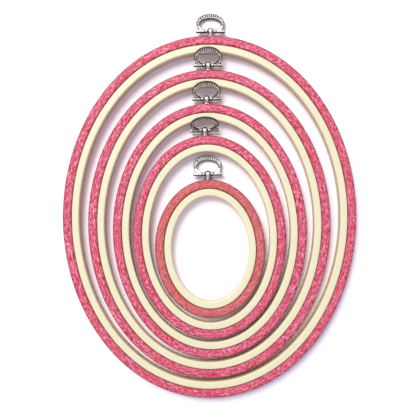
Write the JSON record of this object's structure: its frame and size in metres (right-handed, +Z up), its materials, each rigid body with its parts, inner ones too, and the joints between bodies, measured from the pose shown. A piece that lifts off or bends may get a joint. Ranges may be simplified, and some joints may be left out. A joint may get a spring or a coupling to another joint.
{
  "type": "embroidery hoop set",
  "caption": "Nesting set of oval embroidery hoops: cream inner rings, pink wood-grain outer bands that tighten the cloth, and swinging metal hangers for display.",
  "frame": {"origin": "on the table, under the middle of the outline of the largest hoop and its hanger", "axes": "+X across the ovals, +Y along them towards the hangers, +Z up from the table"},
  "size_m": [0.2204, 0.2912, 0.0186],
  "materials": {
    "band_pink": "soft vinyl with an embossed wood grain, satin",
    "band_coral": "soft vinyl with a faint embossed wood grain, satin",
    "ring_cream": "smooth moulded plastic",
    "hanger_metal": "cast zinc alloy, satin, a little warm"
  },
  "bodies": {
    "hoop1_ring": {"hoop1_inner_ring": "ring_cream"},
    "hoop1_band": {"hoop1_outer_band": "band_pink", "hoop1_hanger_post": "hanger_metal", "hoop1_post_washer": "hanger_metal"},
    "hoop1_bail": {"hoop1_hanger_bail": "hanger_metal"},
    "hoop2_ring": {"hoop2_inner_ring": "ring_cream"},
    "hoop2_band": {"hoop2_outer_band": "band_pink", "hoop2_hanger_post": "hanger_metal", "hoop2_post_washer": "hanger_metal"},
    "hoop2_bail": {"hoop2_hanger_bail": "hanger_metal"},
    "hoop3_ring": {"hoop3_inner_ring": "ring_cream"},
    "hoop3_band": {"hoop3_outer_band": "band_pink", "hoop3_hanger_post": "hanger_metal", "hoop3_post_washer": "hanger_metal"},
    "hoop3_bail": {"hoop3_hanger_bail": "hanger_metal"},
    "hoop4_ring": {"hoop4_inner_ring": "ring_cream"},
    "hoop4_band": {"hoop4_outer_band": "band_pink", "hoop4_hanger_post": "hanger_metal", "hoop4_post_washer": "hanger_metal"},
    "hoop4_bail": {"hoop4_hanger_bail": "hanger_metal"},
    "hoop5_ring": {"hoop5_inner_ring": "ring_cream"},
    "hoop5_band": {"hoop5_outer_band": "band_coral", "hoop5_hanger_post": "hanger_metal", "hoop5_post_washer": "hanger_metal"},
    "hoop5_bail": {"hoop5_hanger_bail": "hanger_metal"}
  },
  "joints": [
    {"name": "hoop1_band_lift", "type": "slide", "parent": "hoop1_ring", "child": "hoop1_band", "axis": [0, 0, 1], "range_m": [0, 0.012]},
    {"name": "hoop1_bail_swing", "type": "hinge", "parent": "hoop1_band", "child": "hoop1_bail", "pos_m": [0.00061, 0.13066, 0.00515], "axis": [1, -0.0044, 0], "range_deg": [0, 142]},
    {"name": "hoop2_lift", "type": "slide", "parent": "hoop1_ring", "child": "hoop2_ring", "axis": [0, 0, 1], "range_m": [0, 0.03]},
    {"name": "hoop2_band_lift", "type": "slide", "parent": "hoop2_ring", "child": "hoop2_band", "axis": [0, 0, 1], "range_m": [0, 0.012]},
    {"name": "hoop2_bail_swing", "type": "hinge", "parent": "hoop2_band", "child": "hoop2_bail", "pos_m": [-0.00114, 0.10516, 0.00515], "axis": [1, 0.0079, 0], "range_deg": [0, 82.9]},
    {"name": "hoop3_lift", "type": "slide", "parent": "hoop2_ring", "child": "hoop3_ring", "axis": [0, 0, 1], "range_m": [0, 0.03]},
    {"name": "hoop3_band_lift", "type": "slide", "parent": "hoop3_ring", "child": "hoop3_band", "axis": [0, 0, 1], "range_m": [0, 0.012]},
    {"name": "hoop3_bail_swing", "type": "hinge", "parent": "hoop3_band", "child": "hoop3_bail", "pos_m": [-0.00224, 0.07962, 0.00515], "axis": [0.9997, 0.0244, 0], "range_deg": [0, 83.3]},
    {"name": "hoop4_lift", "type": "slide", "parent": "hoop3_ring", "child": "hoop4_ring", "axis": [0, 0, 1], "range_m": [0, 0.03]},
    {"name": "hoop4_band_lift", "type": "slide", "parent": "hoop4_ring", "child": "hoop4_band", "axis": [0, 0, 1], "range_m": [0, 0.012]},
    {"name": "hoop4_bail_swing", "type": "hinge", "parent": "hoop4_band", "child": "hoop4_bail", "pos_m": [-0.00363, 0.05579, 0.00515], "axis": [0.999, 0.0436, 0], "range_deg": [0, 68]},
    {"name": "hoop5_lift", "type": "slide", "parent": "hoop4_ring", "child": "hoop5_ring", "axis": [0, 0, 1], "range_m": [0, 0.03]},
    {"name": "hoop5_band_lift", "type": "slide", "parent": "hoop5_ring", "child": "hoop5_band", "axis": [0, 0, 1], "range_m": [0, 0.012]},
    {"name": "hoop5_bail_swing", "type": "hinge", "parent": "hoop5_band", "child": "hoop5_bail", "pos_m": [-0.00137, 0.02258, 0.00515], "axis": [0.9995, 0.0314, 0], "range_deg": [0, 142]}
  ]
}
